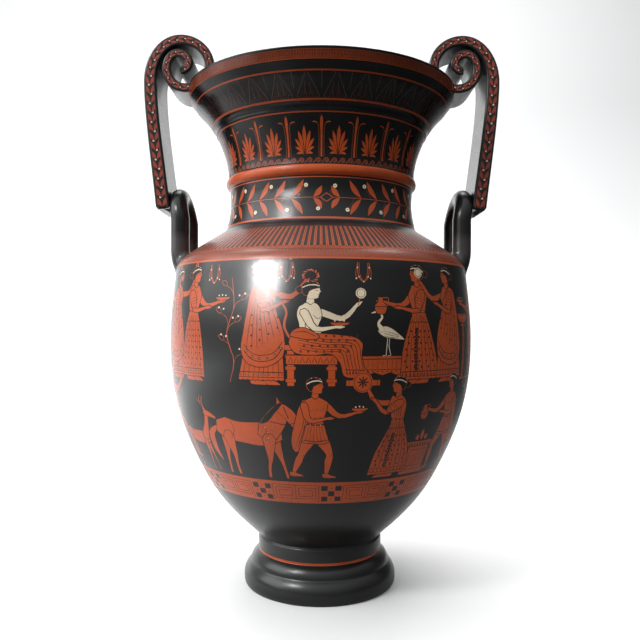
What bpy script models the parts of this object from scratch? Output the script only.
"""Two-handled volute krater: one fired and painted clay vessel, hollow and open at the top.

Metres, +Z up, origin at the centre of the underside of the foot, handles on +X and -X.
"""

import math

import bmesh
import bpy
from mathutils import Vector

for old in list(bpy.data.objects):
    bpy.data.objects.remove(old, do_unlink=True)

# Turning
TURN_STEPS = 48
MERGE = 0.0001
WELD = 0.000001
CURVE_RATIO = 0.38
DOWN = 270.0

# Foot, from the ground up
BELL_HEIGHT = 0.0465
BASE_RADIUS = 0.1035
BELL_SWELL = 0.0027
BELL_WIDEST_HEIGHT = 0.0105
BELL_NECK_HEIGHT = 0.0300
BELL_NECK_DRAW = 0.0065
BELL_UPPER_BULGE = 0.0028
BELL_SPREAD = 48.0
BASE_TUCK = 45.0
RING_HEIGHT = 0.0190
RING_RADIUS = 0.0862
RING_EDGE_ROUND = 0.0020
RING_FOOT_INSET = 0.0014
RING_WALL = 0.0240
FOOT_RIM_WIDTH = 0.0175

# Body, from the foot ring up
BODY_SEAM_HEIGHT = 0.0025
BODY_SEAM_INSET = 0.0027
BODY_SEAM_LEAN = 48.0
LOWER_BODY_HEIGHT = 0.0970
LOWER_BODY_RADIUS = 0.1645
LOWER_BODY_LEAN = 27.0
BELLY_RISE = 0.1730
BELLY_RADIUS = 0.2090
BELLY_TO_SHOULDER = 0.0950
SHOULDER_DRAW = 0.0075
SHOULDER_LEAN = 6.0
SHOULDER_ROUND = 0.0225
SHOULDER_ROUND_WIDTH = 0.0175
SLOPE_HEIGHT = 0.0300
SLOPE_DROP = 35.0
SLOPE_BULGE = 0.0006
WALL = 0.010
FLOOR_LIFT = 0.010
FLOOR_THICKNESS = 0.020
FLOOR_RADIUS = 0.050
FLOOR_LEAN = 5.0

# Neck, from the collar up
COLLAR_HEIGHT = 0.0070
COLLAR_SPREAD = 0.0116
COLLAR_HOLLOW = 0.0008
NECK_RADIUS = 0.1272
NECK_WALL = 0.009
NECK_FOOT_SPREAD = 0.0053
NECK_FOOT_LEAN = 13.0
NECK_WAIST_HEIGHT = 0.0375
NECK_LOWER_HEIGHT = 0.0540
NECK_LOWER_SPREAD = 0.0013
TORUS_HEIGHT = 0.0140
TORUS_STAND = 0.0063
TORUS_LEAN = 60.0
NECK_UPPER_HEIGHT = 0.0595
NECK_UPPER_FOOT_SPREAD = 0.0033
NECK_UPPER_HEAD_SPREAD = 0.0186
NECK_UPPER_LEAN = 23.0

# Mouth, from the upper neck up
MOULDING_STEP = 0.0015
MOULDING_HEIGHT = 0.0100
MOULDING_FOOT_SPREAD = 0.0208
MOULDING_HEAD_SPREAD = 0.0263
MOULDING_HOLLOW = 0.0018
FLARE_HEIGHT = 0.0255
FLARE_HOLLOW = 0.0015
FLARE_HEAD_INSET = 0.0115
FLARE_STEP = 0.0030
LIP_STEP_INSET = 0.0100
LIP_UNDERCUT_HEIGHT = 0.0090
LIP_FOOT_INSET = 0.0025
LIP_HEIGHT = 0.0150
LIP_WIDTH = 0.0150
RIM_RADIUS = 0.1865
RIM_EDGE_ROUND = 0.0025

# Loops that carry the straps on the shoulder
LOOP_THICKNESS = 0.0252
LOOP_ROOT_RATIO = 1.22
LOOP_SPREAD = 0.0680
LOOP_HEIGHT = 0.1180
LOOP_INSET = 0.0080
LOOP_TOP_LEAN = 0.0060
LOOP_ROOT_INSET = 0.0205
LOOP_ROOT_DROP = 0.0050
LOOP_ROOT_HEIGHT = 0.0290
LOOP_ROOT_LEAN = 55.0
LOOP_ARCH_STEPS = 8
LOOP_ROOT_STEPS = 4
LOOP_ROUNDING = 3

# Strap handles that roll up on the lip
STRAP_DEPTH = 0.0730
STRAP_LAP = 0.0340
STRAP_SINK = 0.0046
STRAP_FOOT_THICKNESS = 0.0195
STRAP_CORNER = 0.0040
STRAP_BEND = 0.0450
STRAP_HEAD_THICKNESS = 0.0175
ROLL_END_THICKNESS = 0.0120
ROLL_THINNING_POWER = 3
ROLL_OVERHANG = 0.0385
ROLL_WIDTH = 0.0965
ROLL_SINK = 0.0055
ROLL_HEIGHT = 0.0795
COIL_OUTER_INSET = 0.0248
COIL_TOP_INSET = 0.0195
COIL_INNER_INSET = 0.0290
COIL_END_INSET = 0.0240
QUARTER_STEPS = 8

# Where the roll's turning points lie, as shares of its width from the mouth and of its height
ROLL_OUTER_SHARE = 0.195
ROLL_TOP_SHARE = 0.477
ROLL_INNER_SHARE = 0.472
ROLL_BOTTOM_SHARE = 0.404
COIL_OUTER_SHARE = 0.410
COIL_TOP_SHARE = 0.518
COIL_INNER_SHARE = 0.510
COIL_END_SHARE = 0.487

# Heights and radii that follow from the sizes above
RING_TOP_Z = BELL_HEIGHT + RING_HEIGHT
BODY_FOOT_Z = RING_TOP_Z + BODY_SEAM_HEIGHT
LOWER_BODY_Z = BODY_FOOT_Z + LOWER_BODY_HEIGHT
BELLY_Z = LOWER_BODY_Z + BELLY_RISE
SHOULDER_Z = BELLY_Z + BELLY_TO_SHOULDER
SLOPE_END_Z = SHOULDER_Z + SHOULDER_ROUND
COLLAR_BOTTOM_Z = SLOPE_END_Z + SLOPE_HEIGHT
NECK_FOOT_Z = COLLAR_BOTTOM_Z + COLLAR_HEIGHT
NECK_WAIST_Z = NECK_FOOT_Z + NECK_WAIST_HEIGHT
TORUS_BOTTOM_Z = NECK_FOOT_Z + NECK_LOWER_HEIGHT
NECK_UPPER_BOTTOM_Z = TORUS_BOTTOM_Z + TORUS_HEIGHT
NECK_UPPER_TOP_Z = NECK_UPPER_BOTTOM_Z + NECK_UPPER_HEIGHT
MOULDING_BOTTOM_Z = NECK_UPPER_TOP_Z + MOULDING_STEP
MOULDING_TOP_Z = MOULDING_BOTTOM_Z + MOULDING_HEIGHT
FLARE_TOP_Z = MOULDING_TOP_Z + FLARE_HEIGHT
LIP_STEP_Z = FLARE_TOP_Z + FLARE_STEP
LIP_BOTTOM_Z = LIP_STEP_Z + LIP_UNDERCUT_HEIGHT
RIM_TOP_Z = LIP_BOTTOM_Z + LIP_HEIGHT
FLOOR_TOP_Z = BODY_FOOT_Z + FLOOR_LIFT
FOOT_HOLLOW_Z = FLOOR_TOP_Z - FLOOR_THICKNESS
SHOULDER_RADIUS = BELLY_RADIUS - SHOULDER_DRAW
SLOPE_END_RADIUS = SHOULDER_RADIUS - SHOULDER_ROUND_WIDTH
COLLAR_RADIUS = NECK_RADIUS + COLLAR_SPREAD
MOULDING_FOOT_RADIUS = NECK_RADIUS + MOULDING_FOOT_SPREAD
LOOP_TOP_Z = SHOULDER_Z + LOOP_HEIGHT
LOOP_LIMB_X = SHOULDER_RADIUS - LOOP_INSET
LOOP_TOP_X = LOOP_LIMB_X + LOOP_TOP_LEAN
STRAP_FOOT_Z = LOOP_TOP_Z - STRAP_LAP
STRAP_FOOT_X = LOOP_TOP_X + LOOP_THICKNESS / 2 - STRAP_SINK + STRAP_FOOT_THICKNESS
ROLL_INNER_X = RIM_RADIUS - ROLL_OVERHANG
ROLL_BOTTOM_Z = RIM_TOP_Z - ROLL_SINK

CLAY_BLACK = (0.018, 0.018, 0.019, 1.0)
CLAY_ROUGHNESS = 0.25


def collection(name, shown):
    """Makes a collection, hidden from renders if it holds only cutters and joined solids."""
    made = bpy.data.collections.new(name)
    bpy.context.scene.collection.children.link(made)
    made.hide_render = not shown
    return made


def glazed_clay():
    """Glossy black slip over fired clay."""
    material = bpy.data.materials.new("glazed_clay")
    material.use_nodes = True
    shader = material.node_tree.nodes["Principled BSDF"]
    shader.inputs["Base Color"].default_value = CLAY_BLACK
    shader.inputs["Roughness"].default_value = CLAY_ROUGHNESS
    return material


def bowed(start, end, bulge, steps):
    """Points after start up to end on a shallow curve that stands off its chord by bulge."""
    ax, az = start
    bx, bz = end
    length = math.dist(start, end)
    out_x = (az - bz) / length
    out_z = (bx - ax) / length
    points = []
    for step in range(1, steps + 1):
        share = step / steps
        lift = 4.0 * bulge * share * (1.0 - share)
        points.append((ax + (bx - ax) * share + out_x * lift, az + (bz - az) * share + out_z * lift))
    return points


def sweep(start, start_angle, end, end_angle, steps, pull=CURVE_RATIO):
    """Points after start up to end on a smooth curve that leaves and arrives at the given angles."""
    ax, az = start
    bx, bz = end
    reach = pull * math.dist(start, end)
    first = math.radians(start_angle)
    last = math.radians(end_angle)
    cx, cz = ax + reach * math.cos(first), az + reach * math.sin(first)
    dx, dz = bx - reach * math.cos(last), bz - reach * math.sin(last)
    points = []
    for step in range(1, steps + 1):
        t = step / steps
        s = 1.0 - t
        x = s ** 3 * ax + 3 * s * s * t * cx + 3 * s * t * t * dx + t ** 3 * bx
        z = s ** 3 * az + 3 * s * s * t * cz + 3 * s * t * t * dz + t ** 3 * bz
        points.append((x, z))
    return points


def mouth_profile():
    """Outer radius and height from the middle of the mouth over the lip to the upper neck."""
    points = [(0.0, RIM_TOP_Z)]
    points.append((RIM_RADIUS - RIM_EDGE_ROUND, RIM_TOP_Z))
    points.append((RIM_RADIUS, RIM_TOP_Z - RIM_EDGE_ROUND))
    points.append((RIM_RADIUS - LIP_FOOT_INSET, LIP_BOTTOM_Z))
    points.append((RIM_RADIUS - LIP_STEP_INSET, LIP_STEP_Z))
    points.append((RIM_RADIUS - FLARE_HEAD_INSET, FLARE_TOP_Z))
    points += bowed(points[-1], (NECK_RADIUS + MOULDING_HEAD_SPREAD, MOULDING_TOP_Z), -FLARE_HOLLOW, 3)
    points += bowed(points[-1], (MOULDING_FOOT_RADIUS, MOULDING_BOTTOM_Z), -MOULDING_HOLLOW, 2)
    return points


def neck_profile():
    """Outer radius and height of the neck with its ring, down to the collar."""
    points = [(NECK_RADIUS + NECK_UPPER_HEAD_SPREAD, NECK_UPPER_TOP_Z)]
    foot = (NECK_RADIUS + NECK_UPPER_FOOT_SPREAD, NECK_UPPER_BOTTOM_Z)
    points += sweep(points[-1], DOWN - NECK_UPPER_LEAN, foot, DOWN, 4)
    middle = (NECK_RADIUS + TORUS_STAND, (NECK_UPPER_BOTTOM_Z + TORUS_BOTTOM_Z) / 2)
    points += sweep(points[-1], DOWN + TORUS_LEAN, middle, DOWN, 2)
    points += sweep(points[-1], DOWN, (NECK_RADIUS + NECK_LOWER_SPREAD, TORUS_BOTTOM_Z), DOWN - TORUS_LEAN, 2)
    points.append((NECK_RADIUS, NECK_WAIST_Z))
    points += sweep(points[-1], DOWN, (NECK_RADIUS + NECK_FOOT_SPREAD, NECK_FOOT_Z), DOWN + NECK_FOOT_LEAN, 2)
    points += bowed(points[-1], (COLLAR_RADIUS, COLLAR_BOTTOM_Z), -COLLAR_HOLLOW, 2)
    return points


def body_profile():
    """Outer radius and height of shoulder and belly, after the collar down to the foot ring."""
    collar = (COLLAR_RADIUS, COLLAR_BOTTOM_Z)
    points = bowed(collar, (SLOPE_END_RADIUS, SLOPE_END_Z), SLOPE_BULGE, 3)
    points += sweep(points[-1], 360.0 - SLOPE_DROP, (SHOULDER_RADIUS, SHOULDER_Z), DOWN + SHOULDER_LEAN, 4)
    points += sweep(points[-1], DOWN + SHOULDER_LEAN, (BELLY_RADIUS, BELLY_Z), DOWN, 3)
    lean = DOWN - LOWER_BODY_LEAN
    points += sweep(points[-1], DOWN, (LOWER_BODY_RADIUS, LOWER_BODY_Z), lean, 6)
    points += sweep(points[-1], lean, (RING_RADIUS - BODY_SEAM_INSET, BODY_FOOT_Z), DOWN - BODY_SEAM_LEAN, 4)
    return points


def foot_profile():
    """Outer radius and height of the foot, from its ring down, in under it and up to the axis."""
    points = [(RING_RADIUS - RING_EDGE_ROUND, RING_TOP_Z)]
    points.append((RING_RADIUS, RING_TOP_Z - RING_EDGE_ROUND))
    points.append((RING_RADIUS, BELL_HEIGHT + RING_EDGE_ROUND))
    points.append((RING_RADIUS - RING_FOOT_INSET, BELL_HEIGHT))
    points += bowed(points[-1], (BASE_RADIUS - BELL_NECK_DRAW, BELL_NECK_HEIGHT), BELL_UPPER_BULGE, 4)
    points += sweep(points[-1], DOWN + BELL_SPREAD, (BASE_RADIUS + BELL_SWELL, BELL_WIDEST_HEIGHT), DOWN, 3)
    points += sweep(points[-1], DOWN, (BASE_RADIUS, 0.0), DOWN - BASE_TUCK, 3)
    points.append((BASE_RADIUS - FOOT_RIM_WIDTH, 0.0))
    points.append((RING_RADIUS - RING_WALL, FOOT_HOLLOW_Z))
    points.append((0.0, FOOT_HOLLOW_Z))
    return points


def hollow_profile():
    """Radius and height of the hollow, from above the mouth down the wall to the middle of the floor."""
    mouth = RIM_RADIUS - LIP_WIDTH
    clear = RIM_TOP_Z + LIP_WIDTH
    points = [(0.0, clear), (mouth, clear), (mouth, LIP_BOTTOM_Z)]
    points.append((MOULDING_FOOT_RADIUS - NECK_WALL, MOULDING_BOTTOM_Z))
    neck = NECK_RADIUS - NECK_WALL
    points += sweep(points[-1], DOWN - NECK_UPPER_LEAN, (neck, NECK_UPPER_BOTTOM_Z), DOWN, 3)
    points.append((neck, NECK_FOOT_Z))
    points.append((COLLAR_RADIUS - WALL, COLLAR_BOTTOM_Z - WALL))
    points.append((SLOPE_END_RADIUS - WALL / 2, SLOPE_END_Z - WALL))
    shoulder = (SHOULDER_RADIUS - WALL, SHOULDER_Z - WALL / 2)
    points += sweep(points[-1], 360.0 - SLOPE_DROP, shoulder, DOWN + SHOULDER_LEAN, 3)
    points.append((BELLY_RADIUS - WALL, BELLY_Z))
    lean = math.radians(LOWER_BODY_LEAN)
    lower = (LOWER_BODY_RADIUS - WALL * math.cos(lean), LOWER_BODY_Z + WALL * math.sin(lean))
    points += sweep(points[-1], DOWN, lower, DOWN - LOWER_BODY_LEAN, 4)
    points += sweep(points[-1], DOWN - LOWER_BODY_LEAN, (FLOOR_RADIUS, FLOOR_TOP_Z), 180.0 + FLOOR_LEAN, 4)
    points.append((0.0, FLOOR_TOP_Z))
    return points


def turned(name, profile, home):
    """A closed solid of revolution about Z from a profile of radius and height."""
    mesh = bpy.data.meshes.new(name)
    rows = [Vector((radius, 0.0, height)) for radius, height in profile]
    mesh.from_pydata(rows, [(n, n + 1) for n in range(len(rows) - 1)], [])
    item = bpy.data.objects.new(name, mesh)
    home.objects.link(item)
    screw = item.modifiers.new("turning", "SCREW")
    screw.axis = "Z"
    screw.angle = math.tau
    screw.screw_offset = 0.0
    screw.steps = TURN_STEPS
    screw.render_steps = TURN_STEPS
    screw.use_merge_vertices = True
    screw.merge_threshold = MERGE
    screw.use_normal_calculate = True
    screw.use_smooth_shade = True
    return item


def quarter(start, end, upright_start):
    """Points after start up to end on a quarter ellipse with level and upright ends."""
    sx, sz = start
    ex, ez = end
    points = []
    for step in range(1, QUARTER_STEPS + 1):
        turn = 0.5 * math.pi * step / QUARTER_STEPS
        if upright_start:
            points.append((ex + (sx - ex) * math.cos(turn), sz + (ez - sz) * math.sin(turn)))
        else:
            points.append((sx + (ex - sx) * math.sin(turn), ez + (sz - ez) * math.cos(turn)))
    return points


def roll_spot(share, rise):
    """A point of the roll from shares of its width and height."""
    return ROLL_INNER_X + share * ROLL_WIDTH, ROLL_BOTTOM_Z + rise * ROLL_HEIGHT


def roll_stops():
    """Where the outer edge stands upright or level, in turn, from the strap's head to the coil's end."""
    outer_x, top_z = roll_spot(1.0, 1.0)
    return [
        (outer_x, roll_spot(1.0, ROLL_OUTER_SHARE)[1]),
        (roll_spot(ROLL_TOP_SHARE, 1.0)[0], top_z),
        (ROLL_INNER_X, roll_spot(0.0, ROLL_INNER_SHARE)[1]),
        (roll_spot(ROLL_BOTTOM_SHARE, 0.0)[0], ROLL_BOTTOM_Z),
        (outer_x - COIL_OUTER_INSET, roll_spot(1.0, COIL_OUTER_SHARE)[1]),
        (roll_spot(COIL_TOP_SHARE, 1.0)[0], top_z - COIL_TOP_INSET),
        (ROLL_INNER_X + COIL_INNER_INSET, roll_spot(0.0, COIL_INNER_SHARE)[1]),
        (roll_spot(COIL_END_SHARE, 0.0)[0], ROLL_BOTTOM_Z + COIL_END_INSET),
    ]


def roll_outer_edge():
    """The strap's outer edge from its foot up, over and into the coil."""
    foot = (STRAP_FOOT_X, STRAP_FOOT_Z)
    stops = roll_stops()
    head = stops[0]
    lean = math.degrees(math.atan2(head[1] - foot[1], head[0] - foot[0]))
    points = [foot] + sweep(foot, lean, head, 90.0, QUARTER_STEPS, STRAP_BEND / math.dist(foot, head))
    for number, stop in enumerate(stops[1:]):
        points += quarter(points[-1], stop, number % 2 == 0)
    return points


def strap_outline():
    """Closed outline of strap and volute in the XZ plane, thinning towards the coil's end."""
    outer = roll_outer_edge()
    along = [0.0]
    for before, after in zip(outer, outer[1:]):
        along.append(along[-1] + math.dist(before, after))
    bend = along[QUARTER_STEPS]
    inner = []
    for number, (x, z) in enumerate(outer):
        before = outer[max(number - 1, 0)]
        after = outer[min(number + 1, len(outer) - 1)]
        heading = Vector((after[0] - before[0], after[1] - before[1])).normalized()
        if along[number] < bend:
            share = along[number] / bend
            thickness = STRAP_FOOT_THICKNESS + (STRAP_HEAD_THICKNESS - STRAP_FOOT_THICKNESS) * share
        else:
            left = 1.0 - (along[number] - bend) / (along[-1] - bend)
            spare = STRAP_HEAD_THICKNESS - ROLL_END_THICKNESS
            thickness = ROLL_END_THICKNESS + spare * left ** ROLL_THINNING_POWER
        inner.append((x - heading.y * thickness, z + heading.x * thickness))
    foot_x, foot_z = outer[0]
    corner = [(foot_x - STRAP_CORNER, foot_z), (foot_x, foot_z + STRAP_CORNER)]
    return corner + outer[1:] + inner[::-1]


def as_solid(name, data, turn, home):
    """A curve object made into a welded mesh object with its place in the mesh."""
    source = bpy.data.objects.new(name + "_curve", data)
    source.rotation_euler = turn
    bpy.context.scene.collection.objects.link(source)
    bpy.context.view_layer.update()
    ready = source.evaluated_get(bpy.context.evaluated_depsgraph_get())
    mesh = bpy.data.meshes.new_from_object(ready)
    mesh.transform(source.matrix_world)
    bpy.data.objects.remove(source, do_unlink=True)
    shape = bmesh.new()
    shape.from_mesh(mesh)
    bmesh.ops.remove_doubles(shape, verts=shape.verts, dist=WELD)
    bmesh.ops.recalc_face_normals(shape, faces=shape.faces)
    shape.to_mesh(mesh)
    shape.free()
    item = bpy.data.objects.new(name, mesh)
    home.objects.link(item)
    return item


def strap(name, side, home):
    """A strap handle with its volute, drawn flat and thickened across the vessel."""
    data = bpy.data.curves.new(name, "CURVE")
    data.dimensions = "2D"
    data.fill_mode = "BOTH"
    data.extrude = STRAP_DEPTH / 2
    outline = strap_outline()
    line = data.splines.new("POLY")
    line.points.add(len(outline) - 1)
    for point, (x, z) in zip(line.points, outline):
        point.co = (side * x, z, 0.0, 1.0)
    line.use_cyclic_u = True
    return as_solid(name, data, (math.pi / 2, 0.0, 0.0), home)


def loop_route():
    """Centre line and width of the loop on +X, from the front root over the arch to the back root."""
    half = LOOP_SPREAD / 2
    spring = LOOP_TOP_Z - LOOP_THICKNESS / 2 - half
    root = (SHOULDER_RADIUS - LOOP_ROOT_INSET, SHOULDER_Z - LOOP_ROOT_DROP)
    limb = [(root[0], -half, root[1], LOOP_ROOT_RATIO)]
    straight = (LOOP_LIMB_X, SHOULDER_Z + LOOP_ROOT_HEIGHT)
    rise = sweep(root, LOOP_ROOT_LEAN, straight, 90.0, LOOP_ROOT_STEPS)
    for number, (x, z) in enumerate(rise):
        left = 1.0 - (number + 1) / LOOP_ROOT_STEPS
        limb.append((x, -half, z, 1.0 + (LOOP_ROOT_RATIO - 1.0) * left ** 2))
    arch = []
    for step in range(LOOP_ARCH_STEPS + 1):
        turn = math.pi * step / LOOP_ARCH_STEPS
        lift = math.sin(turn)
        arch.append((LOOP_LIMB_X + LOOP_TOP_LEAN * lift, -half * math.cos(turn), spring + half * lift, 1.0))
    back = [(x, -y, z, size) for x, y, z, size in reversed(limb)]
    return limb + arch + back


def loop(name, side, home):
    """A thick round loop standing on the shoulder."""
    data = bpy.data.curves.new(name, "CURVE")
    data.dimensions = "3D"
    data.bevel_depth = LOOP_THICKNESS / 2
    data.bevel_resolution = LOOP_ROUNDING
    data.use_fill_caps = True
    route = loop_route()
    line = data.splines.new("POLY")
    line.points.add(len(route) - 1)
    for point, (x, y, z, size) in zip(line.points, route):
        point.co = (side * x, y, z, 1.0)
        point.radius = size
    return as_solid(name, data, (0.0, 0.0, 0.0), home)


def joined(item, other, operation):
    """Joins another solid to the item, or cuts it away."""
    other.display_type = "WIRE"
    other.hide_render = True
    step = item.modifiers.new(other.name, "BOOLEAN")
    step.operation = operation
    step.solver = "EXACT"
    step.object = other


def main():
    vessel = collection("volute_krater", True)
    helpers = collection("helpers", False)
    outside = mouth_profile() + neck_profile() + body_profile() + foot_profile()
    krater = turned("krater", outside, vessel)
    krater.data.materials.append(glazed_clay())
    for word, side in (("right", 1), ("left", -1)):
        joined(krater, loop("loop_" + word, side, helpers), "UNION")
    joined(krater, turned("hollow", hollow_profile(), helpers), "DIFFERENCE")
    for word, side in (("right", 1), ("left", -1)):
        joined(krater, strap("strap_" + word, side, helpers), "UNION")


main()
